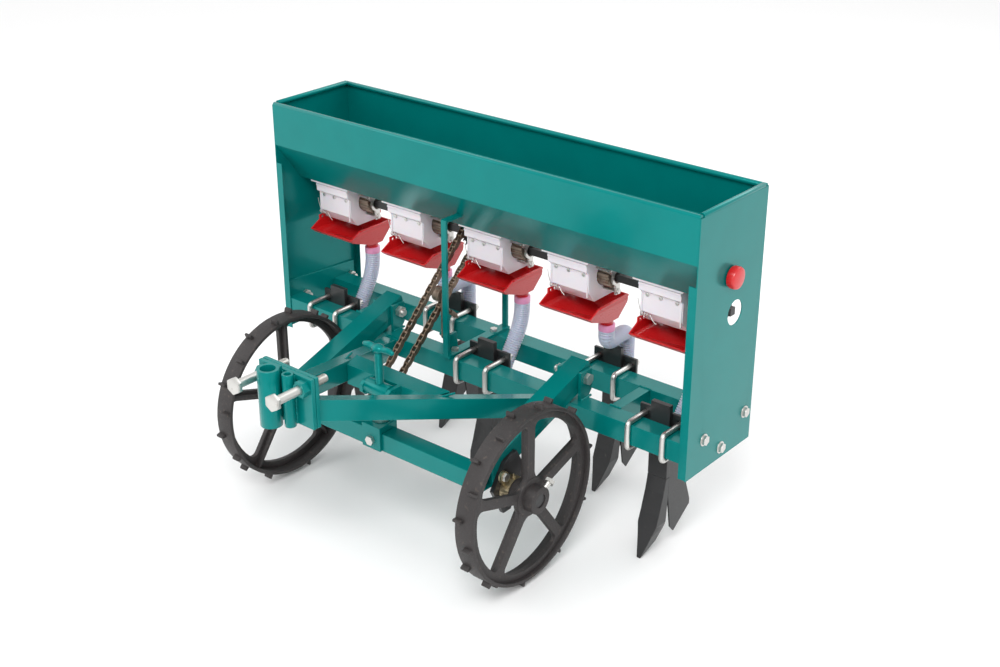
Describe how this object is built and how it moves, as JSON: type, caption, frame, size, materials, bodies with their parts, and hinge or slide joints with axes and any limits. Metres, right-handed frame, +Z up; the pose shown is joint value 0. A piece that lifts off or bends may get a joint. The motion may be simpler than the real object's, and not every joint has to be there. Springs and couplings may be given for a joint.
{
  "type": "row seeder",
  "caption": "Towed row seeder with a long sheet-metal hopper, fluted-roller seed meters, hoe openers, spiked ground wheels with chain drive and a V-shaped drawbar.",
  "frame": {"origin": "on the floor under the middle of the whole seeder", "axes": "+X to the right seen from the drawbar's end, +Y towards the openers and the hopper's back, +Z up"},
  "size_m": [1.029, 0.7844, 0.679],
  "materials": {
    "teal_paint": "gloss teal enamel",
    "black_iron": "black painted casting",
    "black_paint": "satin black enamel",
    "zinc": "zinc plate",
    "yellow_zinc": "yellow zinc plate",
    "white_plastic": "milky moulded plastic",
    "red_plastic": "bright red moulded plastic",
    "clear_hose": "milky corrugated tube",
    "brown_steel": "bare steel, browned",
    "chain_steel": "oiled chain steel"
  },
  "bodies": {
    "frame": {"front_crossbar": "teal_paint", "rear_crossbar": "teal_paint", "cross_ties": "teal_paint", "frame_end_plates": "teal_paint", "pivot_ears": "teal_paint", "drawbar_arms": "teal_paint", "drawbar_cross_tube": "teal_paint", "trunnion_lugs": "teal_paint", "hitch_rear_plate": "teal_paint", "hitch_front_plate": "teal_paint", "hitch_socket": "teal_paint", "hitch_bolts": "zinc", "hitch_nuts": "teal_paint", "hopper_body": "teal_paint", "left_end_plate": "teal_paint", "right_end_plate": "teal_paint", "hopper_brace": "teal_paint", "brace_bolts": "zinc", "end_plate_bolts": "zinc", "end_plate_nuts": "zinc", "meter_housings": "white_plastic", "meter_retainers": "zinc", "seed_funnels": "red_plastic", "shaft_bushes": "brown_steel", "seed_tubes": "clear_hose", "opener_shanks": "black_paint", "opener_points": "black_paint", "seed_boots": "black_paint", "clamp_plates": "black_paint", "u_bolts": "zinc", "u_bolt_nuts": "zinc", "drive_chain": "chain_steel", "arm_pivot_bolts": "zinc"},
    "wheel_frame": {"lower_bar": "teal_paint", "wheel_arms": "teal_paint", "bearing_plates": "black_paint", "axle_bearings": "yellow_zinc", "bearing_bolts": "zinc", "adjuster_bracket": "teal_paint"},
    "wheel_axle": {"axle_shaft": "black_paint", "left_wheel": "black_iron", "right_wheel": "black_iron", "axle_sprocket": "black_iron", "wheel_set_bolts": "zinc"},
    "feed_slider": {"feed_collar": "zinc"},
    "feed_drum": {"feed_shaft": "black_paint", "feed_rollers": "brown_steel"},
    "feed_drive": {"feed_sprocket": "black_iron"},
    "agitator": {"agitator_shaft": "zinc", "agitator_knob": "red_plastic"},
    "tensioner": {"tensioner_arm": "brown_steel"},
    "idler": {"idler_roller": "brown_steel"},
    "trunnion": {"trunnion": "teal_paint"},
    "foot": {"screw_foot": "zinc"},
    "depth_screw": {"adjuster_screw": "teal_paint"},
    "gate_1": {"row_gate_1": "red_plastic"},
    "gate_2": {"row_gate_2": "red_plastic"},
    "gate_3": {"row_gate_3": "red_plastic"},
    "gate_4": {"row_gate_4": "red_plastic"},
    "gate_5": {"row_gate_5": "red_plastic"}
  },
  "joints": [
    {"name": "depth_hinge", "type": "hinge", "parent": "frame", "child": "wheel_frame", "pos_m": [0, 0.169, 0.297], "axis": [1, 0, 0], "range_deg": [-6, 6], "deforming": ["drive_chain"]},
    {"name": "axle_spin", "type": "hinge", "parent": "wheel_frame", "child": "wheel_axle", "pos_m": [0, -0.054, 0.173], "axis": [1, 0, 0], "continuous": true},
    {"name": "feed_shift", "type": "slide", "parent": "frame", "child": "feed_slider", "axis": [1, 0, 0], "range_m": [-0.0121, 0]},
    {"name": "feed_spin", "type": "hinge", "parent": "feed_slider", "child": "feed_drum", "pos_m": [0, 0.26, 0.466], "axis": [1, 0, 0], "continuous": true},
    {"name": "sprocket_spin", "type": "hinge", "parent": "frame", "child": "feed_drive", "pos_m": [-0.09, 0.26, 0.466], "axis": [1, 0, 0], "continuous": true},
    {"name": "agitator_spin", "type": "hinge", "parent": "frame", "child": "agitator", "pos_m": [0, 0.238, 0.54], "axis": [1, 0, 0], "continuous": true},
    {"name": "tensioner_swing", "type": "hinge", "parent": "frame", "child": "tensioner", "pos_m": [-0.08, 0.163, 0.286], "axis": [1, 0, 0], "range_deg": [0, 5], "stiffness_Nm_per_rad": 40, "springref_deg": -2.86},
    {"name": "idler_spin", "type": "hinge", "parent": "tensioner", "child": "idler", "pos_m": [-0.09, 0.16347, 0.36792], "axis": [1, 0, 0], "continuous": true},
    {"name": "trunnion_tilt", "type": "hinge", "parent": "frame", "child": "trunnion", "pos_m": [0, -0.099, 0.296], "axis": [1, 0, 0], "range_deg": [-6.2, 6.2]},
    {"name": "screw_travel", "type": "slide", "parent": "trunnion", "child": "foot", "axis": [0, 0, 1], "range_m": [-0.0285, 0.0285]},
    {"name": "screw_spin", "type": "hinge", "parent": "foot", "child": "depth_screw", "pos_m": [0, -0.099, 0.3], "axis": [0, 0, 1], "range_deg": [-2530, 2530]},
    {"name": "gate_1_swing", "type": "hinge", "parent": "frame", "child": "gate_1", "pos_m": [-0.4, 0.305, 0.46], "axis": [1, 0, 0], "range_deg": [0, 25]},
    {"name": "gate_2_swing", "type": "hinge", "parent": "frame", "child": "gate_2", "pos_m": [-0.2, 0.305, 0.46], "axis": [1, 0, 0], "range_deg": [0, 25]},
    {"name": "gate_3_swing", "type": "hinge", "parent": "frame", "child": "gate_3", "pos_m": [0, 0.305, 0.46], "axis": [1, 0, 0], "range_deg": [0, 25]},
    {"name": "gate_4_swing", "type": "hinge", "parent": "frame", "child": "gate_4", "pos_m": [0.2, 0.305, 0.46], "axis": [1, 0, 0], "range_deg": [0, 25]},
    {"name": "gate_5_swing", "type": "hinge", "parent": "frame", "child": "gate_5", "pos_m": [0.4, 0.305, 0.46], "axis": [1, 0, 0], "range_deg": [0, 25]}
  ],
  "couplings": [
    {"joint": "feed_spin", "follows": "axle_spin", "ratio": 0.84615},
    {"joint": "sprocket_spin", "follows": "axle_spin", "ratio": 0.84615},
    {"joint": "idler_spin", "follows": "axle_spin", "ratio": 1.5026},
    {"joint": "trunnion_tilt", "follows": "depth_hinge", "ratio": 1.016},
    {"joint": "screw_travel", "follows": "depth_hinge", "m_per_rad": -0.268},
    {"joint": "screw_spin", "follows": "depth_hinge", "ratio": -420.97}
  ]
}
